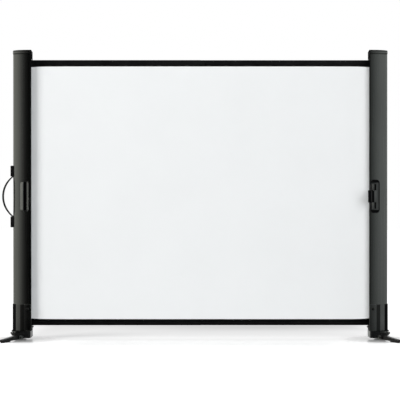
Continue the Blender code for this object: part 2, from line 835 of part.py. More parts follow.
def catch(shell):
    """Catch plate with the slot that the hook drops into."""
    size = CATCH_START, CATCH_WIDTH, CATCH_HEIGHT, CATCH_PROUD
    insert = front_insert("latch_catch", "left", shell, *size, black_plastic())
    slot_height = CATCH_HEIGHT - 2 * CATCH_SLOT_END
    centre = -(LIP + CATCH_SLOT_IN + CATCH_SLOT_WIDTH / 2)
    outline = rounded(CATCH_SLOT_WIDTH, slot_height, CATCH_SLOT_WIDTH / 2 - GAP)
    front, back = HALF_DEPTH + OVERRUN, HALF_DEPTH - CATCH_SLOT_DEPTH
    depth, middle = upright(back, front)
    place = (centre, -middle, LATCH_CENTRE)
    slot = plate("catch_slot", outline, depth, None, place, UPRIGHT_XZ, cutter=True)
    return cut(insert, slot)


def hook_pivot():
    return Vector((LIP + HOOK_PIVOT_IN, -(HALF_DEPTH + HOOK_PIVOT_OUT), LATCH_CENTRE))


def latch_frame(shell):
    """Frame set in the right housing's front, with a lug above and below the hook."""
    size = LATCH_START, LATCH_WIDTH, LATCH_HEIGHT, LATCH_PROUD
    frame = front_insert("latch_frame", "right", shell, *size, black_plastic())
    pivot = hook_pivot()
    reach = HOOK_HEIGHT / 2 + RUN
    room = HOOK_HUB_RADIUS + RUN
    cut(frame, rod("hub_room", room, -reach, reach, None, pivot, cutter=True))
    lug_front = -pivot.y + HOOK_HUB_RADIUS
    lug_back = HALF_DEPTH - LUG_DEPTH
    for up in (-1, 1):
        height = LATCH_CENTRE + up * (HOOK_HEIGHT / 2 + RUN + LUG_HEIGHT / 2)
        place = (pivot.x, -(lug_front + lug_back) / 2, height)
        lug_size = (2 * HOOK_HUB_RADIUS, lug_front - lug_back, LUG_HEIGHT)
        fuse(frame, box("lug", lug_size, None, place, cutter=True))
    reach = HOOK_HEIGHT / 2 + LUG_HEIGHT + OVERRUN
    bore = rod("hook_bore", HOOK_PIN_RADIUS + GAP, -reach, reach, None, pivot, sides=16, cutter=True)
    return cut(frame, bore)


def hook():
    """Hook swung open at rest: tongue with a nib one way, thumb paddle the other."""
    pivot = hook_pivot()
    reach = HOOK_PIVOT_IN + MEET * 2 + CATCH_SLOT_IN + CATCH_SLOT_WIDTH / 2 + HOOK_NIB_WIDTH / 2
    half = HOOK_THICKNESS / 2
    tongue = [
        (0, -half),
        (-reach, -half),
        (-reach, half + HOOK_NIB),
        (-reach + HOOK_NIB_WIDTH, half + HOOK_NIB),
        (-reach + HOOK_NIB_WIDTH, half),
        (0, half),
    ]
    shut = Matrix.Rotation(HOOK_SWING, 3, "Z")
    lever = plate("latch_hook", tongue, HOOK_HEIGHT, black_plastic(), pivot, shut)
    hub = rod("hub", HOOK_HUB_RADIUS, -HOOK_HEIGHT / 2, HOOK_HEIGHT / 2, None, pivot, cutter=True)
    fuse(lever, hub)
    thin = HOOK_HUB_RADIUS * 2 / 3
    paddle = [(0, -half), (HOOK_PADDLE, half - thin), (HOOK_PADDLE, half), (0, half)]
    tilt = Matrix.Rotation(HOOK_PADDLE_TILT, 3, "Z")
    fuse(lever, plate("paddle", paddle, HOOK_HEIGHT, None, pivot, tilt, cutter=True))
    reach = HOOK_HEIGHT / 2 + OVERRUN
    bore = rod("hook_eye", HOOK_PIN_RADIUS + GAP, -reach, reach, None, pivot, sides=16, cutter=True)
    return cut(lever, bore)


def hook_pin():
    reach = HOOK_HEIGHT / 2 + RUN + LUG_HEIGHT
    return rod("latch_hook_pin", HOOK_PIN_RADIUS, -reach, reach, steel(), hook_pivot(), sides=16)


def handle_mount(name, up):
    """Block on the outer side of the left housing, open to the handle's tang."""
    height = HANDLE_CENTRE + up * (HANDLE_SPAN + MOUNT_HEIGHT) / 2
    surface = -(LIP + SHELL_REACH)
    size = (MOUNT_PROUD + MOUNT_BURY, MOUNT_WIDTH, MOUNT_HEIGHT)
    place = (surface - MOUNT_PROUD / 2 + MOUNT_BURY / 2, 0, height)
    block = box(name, size, black_plastic(), place)
    bevel(block, MOUNT_EDGE, 2)
    oval = half_oval(-1, SHELL_REACH + GAP, HALF_DEPTH + GAP)
    middle = (-LIP, 0, height)
    cut(block, plate("mount_seat", oval, 2 * MOUNT_HEIGHT, None, middle, cutter=True))
    start = tang_start() - GAP
    thick = HANDLE_TANG + 2 * GAP
    slot_size = (thick, HANDLE_WIDTH + 2 * GAP, HANDLE_TANG_LENGTH + GAP + OVERRUN)
    slot_end = HANDLE_CENTRE + up * (HANDLE_SPAN / 2 + HANDLE_TANG_LENGTH + GAP)
    slot_middle = slot_end - up * slot_size[2] / 2
    slot_place = (surface - start - thick / 2, 0, slot_middle)
    return cut(block, box("tang_slot", slot_size, None, slot_place, cutter=True))


def tang_start():
    """Distance of the tang's inner face outwards from the housing's surface."""
    return MOUNT_PROUD - MOUNT_SKIN - GAP - HANDLE_TANG


def handle():
    """Arched strap with a flat tang at each end."""
    inner = tang_start()
    half = HANDLE_SPAN / 2
    rise = HANDLE_RISE - inner
    radius = (half**2 + rise**2) / (2 * rise)
    sweep = math.asin(half / radius)
    centre = inner + rise - radius
    end = half + HANDLE_TANG_LENGTH
    outline = []
    thin = radius - HANDLE_THICKNESS
    for step in range(HANDLE_STEPS + 1):
        turn = sweep * (2 * step / HANDLE_STEPS - 1)
        outline.append((-(centre + radius * math.cos(turn)), radius * math.sin(turn)))
    tang = inner + HANDLE_TANG
    outline[0] = (-tang, -half)
    outline[-1] = (-tang, half)
    outline += [(-tang, end), (-inner, end), (-inner, half - HANDLE_THICKNESS)]
    for step in range(1, HANDLE_STEPS):
        turn = sweep * (1 - 2 * step / HANDLE_STEPS)
        across = centre + thin * math.cos(turn)
        if across > inner:
            outline.append((-across, thin * math.sin(turn)))
    outline += [(-inner, HANDLE_THICKNESS - half), (-inner, -end), (-tang, -end)]
    place = (-(LIP + SHELL_REACH), 0, HANDLE_CENTRE)
    strap = plate("carry_handle", outline, HANDLE_WIDTH, rubber(), place, UPRIGHT_XZ)
    return strap


def carry(name, origin, pieces):
    """Parent the pieces of one moving body to an empty on its joint."""
    holder = bpy.data.objects.new(name, None)
    PARTS.objects.link(holder)
    holder.location = origin
    bpy.context.view_layer.update()
    for piece in pieces:
        piece.parent = holder
        piece.matrix_parent_inverse = holder.matrix_world.inverted()
    return holder


def build_post(side_name):
    """Everything that is fixed to one housing, apart from what only one side has."""
    shell = housing(side_name)
    socket = foot_socket(side_name)
    pieces = [shell, socket, top_cap(side_name), bottom_plug(side_name), base(side_name)]
    pieces.append(socket_screw(side_name, socket, shell))
    for level in ("top", "bottom"):
        pieces.append(rail_bracket(level, side_name))
        pieces.append(rail_pin(level, side_name))
    for end_name in ENDS:
        pieces.append(arm_pin(side_name, end_name))
        foot = [arm(side_name, end_name), foot_pad(side_name, end_name)]
        carry(f"{side_name}_{end_name}_foot_hinge", arm_frame(side_name, end_name)[0], foot)
    return shell, pieces


def build():
    left_shell, left = build_post("left")
    right_shell, right = build_post("right")
    turning, fixed = roller()
    left += fixed + [catch(left_shell), sheet(), handle()]
    left += [handle_mount("upper_handle_mount", 1), handle_mount("lower_handle_mount", -1)]
    right += [clamp_bar(), latch_frame(right_shell), hook_pin()]
    carry("left_post", (0, 0, 0), left)
    carry("right_post", (RAIL_PIVOT, 0, HIGH_RAIL), right)
    carry("roller", (ROLLER_X, ROLLER_Y, SHEET_BOTTOM), turning)
    carry("latch", hook_pivot(), [hook()])
    for level in ("top", "bottom"):
        height = rail_height(level)
        near = [rail(level, "left"), knee_pin(level), knee_stop(level)]
        carry(f"{level}_left_link", (-RAIL_PIVOT, 0, height), near)
        carry(f"{level}_right_link", (0, 0, height), [rail(level, "right")])
    bpy.context.view_layer.update()


clear_scene()
PARTS = new_collection("portable_projection_screen")
CUTTERS = new_collection("cutters")
build()
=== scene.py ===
"""Looks of the portable projection screen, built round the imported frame."""

import json
import math

import bmesh
import bpy
from mathutils import Matrix, Vector


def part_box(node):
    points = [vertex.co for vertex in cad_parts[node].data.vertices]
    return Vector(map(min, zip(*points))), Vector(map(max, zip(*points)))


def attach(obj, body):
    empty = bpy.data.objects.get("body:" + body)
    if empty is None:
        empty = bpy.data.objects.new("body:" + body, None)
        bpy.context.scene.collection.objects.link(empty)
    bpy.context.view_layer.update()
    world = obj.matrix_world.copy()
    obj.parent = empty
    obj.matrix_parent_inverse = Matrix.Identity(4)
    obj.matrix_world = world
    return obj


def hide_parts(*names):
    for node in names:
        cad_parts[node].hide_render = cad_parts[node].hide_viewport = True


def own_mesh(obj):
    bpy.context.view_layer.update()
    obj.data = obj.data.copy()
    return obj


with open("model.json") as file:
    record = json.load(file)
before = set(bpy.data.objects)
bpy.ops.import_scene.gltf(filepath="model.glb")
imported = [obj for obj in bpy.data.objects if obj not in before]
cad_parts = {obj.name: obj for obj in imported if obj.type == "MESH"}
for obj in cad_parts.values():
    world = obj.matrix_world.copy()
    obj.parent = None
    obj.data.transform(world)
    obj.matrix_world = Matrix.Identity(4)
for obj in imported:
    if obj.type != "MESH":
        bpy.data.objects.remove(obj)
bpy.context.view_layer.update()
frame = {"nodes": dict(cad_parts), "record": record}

SIDES = {"left": -1, "right": 1}
ENDS = ("front", "rear")
LEVELS = ("top", "bottom")


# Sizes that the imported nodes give
def low(node):
    """Least corner of a node's box."""
    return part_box(node)[0]


def high(node):
    """Greatest corner of a node's box."""
    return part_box(node)[1]


LIP = low("right_housing").x
REACH = high("right_housing").x - LIP
DEPTH = high("right_housing").y
SHELL_LOW = low("right_housing").z
SHELL_HIGH = high("right_housing").z
SHEET_LOW = low("screen_sheet").z
SHEET_HIGH = high("screen_sheet").z
SHEET_FRONT = low("screen_sheet").y
SHEET_BACK = high("screen_sheet").y

# Sizes that the solids have too
OVAL_POWER = 2.3
SHELL_WALL = 0.002

# Sizes of the dressed pieces alone
CLEARANCE = 0.0003
# Width of the black strip painted at the front lip as shade
LIP_SHADE_WIDTH = 0.0030
REAR_SET = 0.0045
LATCH_CORNER = 0.0097
CHANNEL_START, CHANNEL_END = 0.0222, 0.0332

# How meshes are made
OVAL_STEPS = 72
SMOOTH = math.radians(32)
MERGE = 0.00001


# Shader helpers
def material(name):
    made = bpy.data.materials.new(name)
    made.use_nodes = True
    tree = made.node_tree
    return made, tree, tree.nodes["Principled BSDF"]


def put(shader, **values):
    """Set constants on the shader's own sockets."""
    for key, value in values.items():
        socket = shader.inputs[key.replace("_", " ")]
        socket.default_value = (*value, 1.0) if isinstance(value, tuple) else value


def mapped(tree, scale):
    """The object's own coordinates, scaled on each axis."""
    coords = tree.nodes.new("ShaderNodeTexCoord")
    mapping = tree.nodes.new("ShaderNodeMapping")
    mapping.inputs["Scale"].default_value = scale
    tree.links.new(coords.outputs["Object"], mapping.inputs["Vector"])
    return mapping.outputs["Vector"]


def noise(tree, scale, detail=3.0):
    made = tree.nodes.new("ShaderNodeTexNoise")
    made.inputs["Scale"].default_value = 1.0
    made.inputs["Detail"].default_value = detail
    tree.links.new(mapped(tree, scale), made.inputs["Vector"])
    return made.outputs["Fac"]


def ramp(tree, source, stops):
    """Colour ramp; each stop is (position, grey or colour)."""
    made = tree.nodes.new("ShaderNodeValToRGB")
    elements = made.color_ramp.elements
    for place, _ in stops[1:-1]:
        elements.new(place)
    for element, (place, value) in zip(elements, stops):
        element.position = place
        colour = value if isinstance(value, tuple) else (value, value, value)
        element.color = (*colour, 1.0)
    tree.links.new(source, made.inputs["Fac"])
    return made.outputs["Color"]


def vary(tree, source, socket, first, second):
    """Let a socket go from one value to another with a noise."""
    tree.links.new(ramp(tree, source, [(0.3, first), (0.7, second)]), socket)


def bump(tree, shader, source, distance, strength):
    made = tree.nodes.new("ShaderNodeBump")
    made.inputs["Strength"].default_value = strength
    made.inputs["Distance"].default_value = distance
    tree.links.new(source, made.inputs["Height"])
    tree.links.new(made.outputs["Normal"], shader.inputs["Normal"])


def calculate(tree, operation, first, second=None):
    """Math node on numbers or sockets."""
    made = tree.nodes.new("ShaderNodeMath")
    made.operation = operation
    for socket, value in zip(made.inputs, (first, second)):
        if isinstance(value, (int, float)):
            socket.default_value = value
        elif value is not None:
            tree.links.new(value, socket)
    return made.outputs["Value"]


def span(tree, source, start, end, least, most, curve="SMOOTHSTEP"):
    """Take the range from start to end over to the range from least to most."""
    made = tree.nodes.new("ShaderNodeMapRange")
    made.interpolation_type = curve
    for key, value in (("From Min", start), ("From Max", end), ("To Min", least), ("To Max", most)):
        made.inputs[key].default_value = value
    tree.links.new(source, made.inputs["Value"])
    return made.outputs["Result"]


def blend(tree, share, first, second):
    """Mix of two shaders; a share of 1 gives the second."""
    made = tree.nodes.new("ShaderNodeMixShader")
    for socket, source in zip(made.inputs, (share, first, second)):
        tree.links.new(source, socket)
    return made.outputs["Shader"]


# Materials
def anodised(name, dark, light):
    """Extruded, satin anodised aluminium: draw lines along Z, faint cloudiness, soft wear."""
    made, tree, shader = material(name)
    put(shader, Metallic=1.0)
    streaks = noise(tree, (900, 900, 3), 4.0)
    clouds = noise(tree, (18, 18, 5), 2.0)
    mixed = tree.nodes.new("ShaderNodeMix")
    mixed.inputs["Factor"].default_value = 0.45
    tree.links.new(streaks, mixed.inputs["A"])
    tree.links.new(clouds, mixed.inputs["B"])
    vary(tree, mixed.outputs["Result"], shader.inputs["Base Color"], dark, light)
    vary(tree, streaks, shader.inputs["Roughness"], 0.20, 0.28)
    bump(tree, shader, streaks, 0.00002, 0.25)
    return made


def moulded(name, dark, light, rough=(0.42, 0.56), grain=1500, deep=0.00003, level=0.35, metallic=0.0):
    """Moulded plastic with a fine spark-eroded grain and faint handling marks."""
    made, tree, shader = material(name)
    put(shader, Metallic=metallic, Specular_IOR_Level=level)
    fine = noise(tree, (grain, grain, grain), 2.0)
    broad = noise(tree, (35, 35, 35))
    vary(tree, broad, shader.inputs["Base Color"], dark, light)
    vary(tree, broad, shader.inputs["Roughness"], *rough)
    bump(tree, shader, fine, deep, 0.5)
    return made


def fabric(name, dark, light, threads, deep, roughness):
    """Coated cloth: a plain weave of fine threads across and along."""
    made, tree, shader = material(name)
    put(shader, Roughness=roughness, Specular_IOR_Level=0.2)
    waves = []
    for direction in ("X", "Z"):
        wave = tree.nodes.new("ShaderNodeTexWave")
        wave.bands_direction = direction
        wave.inputs["Scale"].default_value = threads
        wave.inputs["Distortion"].default_value = 0.4
        tree.links.new(mapped(tree, (1, 1, 1)), wave.inputs["Vector"])
        waves.append(wave.outputs["Fac"])
    weave = calculate(tree, "MULTIPLY", *waves)
    vary(tree, noise(tree, (6, 6, 6)), shader.inputs["Base Color"], dark, light)
    bump(tree, shader, weave, deep, 0.4)
    return made


def metal(name, dark, light, rough=(0.25, 0.4), grain=(300, 300, 40)):
    """Plated steel with a rolled or turned grain."""
    made, tree, shader = material(name)
    put(shader, Metallic=1.0)
    lines = noise(tree, grain, 4.0)
    vary(tree, lines, shader.inputs["Base Color"], dark, light)
    vary(tree, lines, shader.inputs["Roughness"], *rough)
    bump(tree, shader, lines, 0.00002, 0.3)
    return made


SHELL = anodised("anodised_grey", (0.25, 0.256, 0.248), (0.31, 0.317, 0.308))
TUBE = anodised("anodised_tube", (0.34, 0.34, 0.33), (0.45, 0.45, 0.44))
PLASTIC = moulded("black_plastic", (0.0045, 0.0045, 0.005), (0.008, 0.008, 0.0085))
CAP = moulded("cap_plastic", (0.15, 0.155, 0.15), (0.185, 0.19, 0.185), (0.26, 0.34), metallic=1.0)
# Lighter plastic: on the cap's bead it is a painted highlight; the latch lugs are made of it too
BEAD = moulded("bead_plastic", (0.3, 0.305, 0.295), (0.36, 0.365, 0.355), (0.24, 0.32), metallic=1.0)
# Bright metal for the catch's bead and facet: the plate's metal, with a painted highlight
CATCH_HIGHLIGHT = moulded("catch_metal_highlight", (0.4, 0.41, 0.4), (0.5, 0.51, 0.5), (0.22, 0.3), 700, 0.00002, metallic=1.0)
HOOK = moulded("hook_metal", (0.2, 0.205, 0.2), (0.26, 0.265, 0.26), (0.26, 0.36), 700, 0.00002, metallic=1.0)
# Lighter black for a line on the hook's front: a painted highlight
HOOK_HIGHLIGHT = moulded("hook_painted_highlight", (0.022, 0.022, 0.022), (0.03, 0.03, 0.03))
PANEL = moulded("panel_plastic", (0.2, 0.205, 0.2), (0.24, 0.245, 0.24), (0.28, 0.38), metallic=1.0)
SOCKET = moulded("socket_plastic", (0.19, 0.193, 0.19), (0.228, 0.231, 0.228), (0.24, 0.32), metallic=1.0)
# Dark grey for the socket's shallow channel: painted shade
CHANNEL_SHADE = moulded("socket_channel_shade", (0.055, 0.056, 0.055), (0.066, 0.067, 0.066), (0.3, 0.4), metallic=1.0)
MATT = moulded("matt_black", (0.0025, 0.0025, 0.0028), (0.004, 0.004, 0.0045), (0.7, 0.85), level=0.08)
RUBBER = moulded("black_rubber", (0.008, 0.008, 0.008), (0.013, 0.013, 0.013), (0.7, 0.85), 900, 0.00006, 0.3)
PAINT = moulded(
    "black_rail_paint", (0.004, 0.004, 0.0045), (0.007, 0.007, 0.0075), (0.4, 0.5), 1100, 0.00004, 0.4
)
STEEL = metal("zinc_steel", (0.48, 0.48, 0.46), (0.62, 0.62, 0.6))
DARK_STEEL = metal("black_oxide_steel", (0.02, 0.02, 0.02), (0.04, 0.04, 0.04))
SCREW = metal("blackened_screw", (0.09, 0.092, 0.09), (0.13, 0.132, 0.13), (0.25, 0.35), (500, 500, 500))
WHITE_CLOTH = fabric("matt_white_sheet", (0.87, 0.884, 0.888), (0.885, 0.899, 0.903), 420, 0.00005, 0.9)
BLACK_CLOTH = fabric("black_backing", (0.008, 0.008, 0.0085), (0.014, 0.014, 0.0145), 300, 0.00008, 0.8)


# Mesh helpers
def from_bmesh(name, shape, finishes):
    """New object in the scene from a bmesh, with its finishes in slots."""
    bmesh.ops.recalc_face_normals(shape, faces=shape.faces)
    mesh = bpy.data.meshes.new(name)
    shape.to_mesh(mesh)
    shape.free()
    piece = bpy.data.objects.new(name, mesh)
    bpy.context.scene.collection.objects.link(piece)
    for finish in finishes:
        mesh.materials.append(finish)
    return piece


def settle(piece, angle=SMOOTH):
    """Apply the modifiers, then smooth the faces between the sharp edges."""
    bpy.context.view_layer.update()
    evaluated = piece.evaluated_get(bpy.context.evaluated_depsgraph_get())
    mesh = bpy.data.meshes.new_from_object(evaluated)
    piece.modifiers.clear()
    piece.data = mesh
    for face in mesh.polygons:
        face.use_smooth = True
    mesh.set_sharp_from_angle(angle=angle)


def carve(piece, *tools):
    """Cut the tools out of a piece, and delete them."""
    for tool in tools:
        change = piece.modifiers.new("carve", "BOOLEAN")
        change.operation = "DIFFERENCE"
        change.object = tool
        change.solver = "EXACT"
    settle(piece)
    for tool in tools:
        bpy.data.objects.remove(tool, do_unlink=True)


def chamfer(piece, width, segments=2, angle=math.radians(35)):
    """Round the edges that are sharper than an angle."""
    change = piece.modifiers.new("edge", "BEVEL")
    change.width = width
    change.segments = segments
    change.limit_method = "ANGLE"
    change.angle_limit = angle
    change.use_clamp_overlap = True


def divide(shape, place, normal):
    """Split the faces along a plane, so that each side of it can take its own finish."""
    whole = shape.verts[:] + shape.edges[:] + shape.faces[:]
    bmesh.ops.bisect_plane(shape, geom=whole, plane_co=place, plane_no=normal)


def stack(name, rings, finishes, face_finish=None):
    """Closed solid through rings of points that all have one count, with flat ends."""
    shape = bmesh.new()
    rows = [[shape.verts.new(point) for point in ring] for ring in rings]
    count = len(rows[0])
    for level, (under, over) in enumerate(zip(rows, rows[1:])):
        for index in range(count):
            after = (index + 1) % count
            face = shape.faces.new((under[index], under[after], over[after], over[index]))
            if face_finish is not None:
                face.material_index = face_finish(level, index)
    shape.faces.new(rows[0][::-1])
    shape.faces.new(rows[-1])
    return from_bmesh(name, shape, finishes)


def prism(name, outline, start, end, place, finishes):
    """Solid on an outline; place turns (u, v, along) into a point."""
    return stack(name, [[place(u, v, along) for u, v in outline] for along in (start, end)], finishes)


def upright(u, v, along):
    return Vector((u, v, along))


def rounded(width, height, radius, steps=6):
    """Outline of a rectangle with round corners, about its middle."""
    points = []
    for quarter, (right, up) in enumerate(((1, 1), (-1, 1), (-1, -1), (1, -1))):
        for step in range(steps + 1):
            turn = math.pi / 2 * (quarter + step / steps)
            u = right * (width / 2 - radius) + radius * math.cos(turn)
            v = up * (height / 2 - radius) + radius * math.sin(turn)
            points.append((u, v))
    return points


def half_oval(side, reach, depth, start=0.0):
    """Half superellipse that bulges outwards from the lip."""
    points = []
    for step in range(OVAL_STEPS + 1):
        turn = math.pi * (step / OVAL_STEPS - 0.5)
        across = max(math.cos(turn), 0) ** (2 / OVAL_POWER)
        along = math.copysign(abs(math.sin(turn)) ** (2 / OVAL_POWER), math.sin(turn))
        points.append((side * (LIP + start + (reach - start) * across), depth * along))
    return points


def oval_front(across, reach=REACH, depth=DEPTH):
    """How far the oval's front lies from the middle, at a distance outwards from the lip."""
    return depth * max(1 - (across / reach) ** OVAL_POWER, 0) ** (1 / OVAL_POWER)


def ease(value):
    """Smooth step from 0 to 1."""
    value = min(max(value, 0), 1)
    return value * value * (3 - 2 * value)


# Pieces and their bodies
def dress(piece, body, slot, *nodes):
    """Tie a piece to a body, and let it stand for the nodes that it covers; the slot is not used."""
    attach(piece, body)
    if nodes:
        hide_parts(*nodes)


def body_of(node):
    for body, nodes in frame["record"]["behaviour"]["bodies"].items():
        if node in nodes:
            return body
    return None


def slot_of(node):
    for row in frame["record"]["subparts"]:
        if row["node"] == node:
            return row["material_slot"]
    return None


def refine(node, finish, width, segments=2):
    """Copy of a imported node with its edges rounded, which stands for the node."""
    shape = bmesh.new()
    shape.from_mesh(frame["nodes"][node].data)
    bmesh.ops.remove_doubles(shape, verts=shape.verts, dist=MERGE)
    bmesh.ops.dissolve_limit(shape, angle_limit=math.radians(0.8), verts=shape.verts, edges=shape.edges)
    piece = from_bmesh(f"{node}_skin", shape, [finish])
    if width:
        chamfer(piece, width, segments)
    settle(piece)
    dress(piece, body_of(node), slot_of(node), node)
    return piece


# Camera
camera_data = bpy.data.cameras.new("camera")
camera = bpy.data.objects.new("camera", camera_data)
bpy.context.scene.collection.objects.link(camera)
camera_data.sensor_width = 36
camera_data.lens = 134.24
camera_data.clip_start, camera_data.clip_end = 0.1, 100
camera.location = (-0.00075, -4.522, 0.4365)
camera.rotation_euler = (math.radians(90 - 0.192), 0, 0)
bpy.context.scene.camera = camera
bpy.context.scene.view_settings.view_transform = "Standard"

# What metal mirrors, by degrees round the object; 0 is the way that the front faces
GLOSS_ROUND = (
    (-180, 1.0),
    (-167, 0.97),
    (-150, (0.58, 0.58, 0.54)),
    (-120, (0.5, 0.5, 0.465)),
    (-85, (0.44, 0.44, 0.405)),
    (-62, (0.34, 0.34, 0.315)),
    (-46, (0.2, 0.2, 0.19)),
    (-30, (0.06, 0.06, 0.058)),
    (-16, (0.004, 0.004, 0.004)),
    (-2, (0.004, 0.004, 0.004)),
    (7, (0.062, 0.066, 0.065)),
    (22, (0.195, 0.209, 0.205)),
    (50, (0.31, 0.325, 0.322)),
    (100, (0.34, 0.355, 0.352)),
    (140, (0.3, 0.314, 0.311)),
    (167, 0.97),
    (180, 1.0),
)


def studio():
    """World: white to the camera, the round above to metal, and a weak fill to the rest."""
    world = bpy.data.worlds.new("studio")
    bpy.context.scene.world = world
    world.use_nodes = True
    tree = world.node_tree
    tree.nodes.clear()
    coords = tree.nodes.new("ShaderNodeTexCoord")
    split = tree.nodes.new("ShaderNodeSeparateXYZ")
    tree.links.new(coords.outputs["Generated"], split.inputs["Vector"])
    ahead = calculate(tree, "MULTIPLY", split.outputs["Y"], -1.0)
    angle = calculate(tree, "ARCTAN2", split.outputs["X"], ahead)
    turn = span(tree, angle, -math.pi, math.pi, 0.0, 1.0, "LINEAR")
    stops = [((degrees + 180) / 360, value) for degrees, value in GLOSS_ROUND]
    seen = tree.nodes.new("ShaderNodeBackground")
    put(seen, Color=(1.0, 1.0, 1.0))
    gloss = tree.nodes.new("ShaderNodeBackground")
    tree.links.new(ramp(tree, turn, stops), gloss.inputs["Color"])
    below = span(tree, split.outputs["Z"], -0.09, 0.0, 0.68, 1.0, "LINEAR")
    tree.links.new(below, gloss.inputs["Strength"])
    fill = tree.nodes.new("ShaderNodeBackground")
    put(fill, Color=(0.97, 0.985, 1.0), Strength=0.12)
    path = tree.nodes.new("ShaderNodeLightPath")
    glossy = path.outputs["Is Glossy Ray"]
    unseen = blend(tree, glossy, fill.outputs["Background"], gloss.outputs["Background"])
    clear = calculate(tree, "MAXIMUM", path.outputs["Is Camera Ray"], path.outputs["Is Transmission Ray"])
    output = tree.nodes.new("ShaderNodeOutputWorld")
    tree.links.new(blend(tree, clear, unseen, seen.outputs["Background"]), output.inputs["Surface"])


def floor():
    """White floor that keeps the shadow, with painted shade round the feet and just in front of the sheet,
    and mirrors the feet faintly close to them.
    """
    made, tree, shader = material("floor_white")
    put(shader, Base_Color=(0.86, 0.86, 0.86), Roughness=0.6, Specular_IOR_Level=0.0)
    coords = tree.nodes.new("ShaderNodeTexCoord")
    split = tree.nodes.new("ShaderNodeSeparateXYZ")
    tree.links.new(coords.outputs["Object"], split.inputs["Vector"])

    def less(value, amount):
        return calculate(tree, "SUBTRACT", value, amount)

    def beyond(value, start):
        return calculate(tree, "MAXIMUM", less(value, start), 0)

    def distance(across, along):
        squares = [calculate(tree, "MULTIPLY", leg, leg) for leg in (across, along)]
        return calculate(tree, "SQRT", calculate(tree, "ADD", *squares))

    # The floor's own glow fades to dim round the screen, so that the shadow shows
    width = calculate(tree, "ABSOLUTE", split.outputs["X"])
    depth = split.outputs["Y"]
    dim = 0.53
    around = span(tree, distance(beyond(width, 0.35), less(depth, 0.14)), 0.24, 0.95, dim, 1.0)
    aside = span(tree, width, 0.46, 0.68, dim, 1.0)

    # Painted light and shade that shape the shadow: it is lighter in a band behind the sheet, more so to the
    # right, and dimmer just in front
    away = calculate(tree, "ABSOLUTE", less(depth, 0.175))
    to_right = span(tree, split.outputs["X"], -0.5, -0.1, 0.04, 0.2)
    rise = calculate(tree, "MULTIPLY", span(tree, away, 0.03, 0.25, 1.0, 0.0), to_right)
    behind = calculate(tree, "ADD", rise, dim)
    front = span(tree, distance(beyond(width, 0.3), less(depth, -0.15)), 0.0, 0.17, 0.74, 1.0)

    # Round each foot the glow is dimmed, a painted contact shadow, and the floor mirrors
    feet = distance(less(width, 0.545), less(depth, -0.01))
    contact = span(tree, feet, 0.02, 0.13, 0.3, 1.0)
    mirrored = span(tree, feet, 0.07, 0.15, 0.62, 0.0)

    most = calculate(tree, "MAXIMUM", behind, calculate(tree, "MAXIMUM", around, aside))
    level = calculate(tree, "MULTIPLY", calculate(tree, "MULTIPLY", most, contact), front)
    glow = tree.nodes.new("ShaderNodeEmission")
    tree.links.new(level, glow.inputs["Strength"])
    mirror = tree.nodes.new("ShaderNodeBsdfGlossy")
    put(mirror, Roughness=0.1)
    both = tree.nodes.new("ShaderNodeAddShader")
    tree.links.new(shader.outputs["BSDF"], both.inputs[0])
    tree.links.new(glow.outputs["Emission"], both.inputs[1])
    reflection = blend(tree, mirrored, both.outputs["Shader"], mirror.outputs["BSDF"])
    path = tree.nodes.new("ShaderNodeLightPath")
    whole = blend(tree, path.outputs["Is Camera Ray"], shader.outputs["BSDF"], reflection)
    tree.links.new(whole, tree.nodes["Material Output"].inputs["Surface"])

    shape = bmesh.new()
    bmesh.ops.create_grid(shape, x_segments=2, y_segments=2, size=14)
    piece = from_bmesh("floor", shape, [made])
    piece.visible_glossy = False


def lamp(name, place, size, power, colour):
    """Large soft lamp that faces the middle of the screen and shows in no metal."""
    data = bpy.data.lights.new(name, "AREA")
    data.shape = "RECTANGLE"
    data.size, data.size_y = size
    data.energy = power
    data.color = colour
    made = bpy.data.objects.new(name, data)
    bpy.context.scene.collection.objects.link(made)
    made.location = place
    aim = Vector((0, 0, 0.45))
    made.rotation_euler = (aim - Vector(place)).to_track_quat("-Z", "Y").to_euler()
    made.visible_glossy = False


studio()
floor()
lamp("left_light", (-6.3, -4.35, 2.35), (3.4, 3.2), 402, (1.0, 0.993, 0.98))
lamp("right_light", (2.6, -5.5, 1.9), (5.2, 4.6), 201, (0.97, 0.985, 1.0))


# Housings
def lip_at(y):
    """Least distance outwards from the lip: the lip's plane leans back a little to the rear."""
    return REAR_SET * (y + DEPTH) / (2 * DEPTH)


def housing_ring(side, inset):
    """Front lip, edge of the black strip painted there as shade, the oval, then the rear lip, pulled in by
    the inset.
    """
    start = max(inset, 0)
    ring = []
    for x, y in half_oval(side, REACH - inset, DEPTH - inset, start):
        ring.append((side * (LIP + max(abs(x) - LIP, start + lip_at(y))), y))
    if start < SHELL_WALL:
        ring[1] = (side * (LIP + LIP_SHADE_WIDTH), inset - DEPTH)
    return ring[:-2] + ring[-1:]


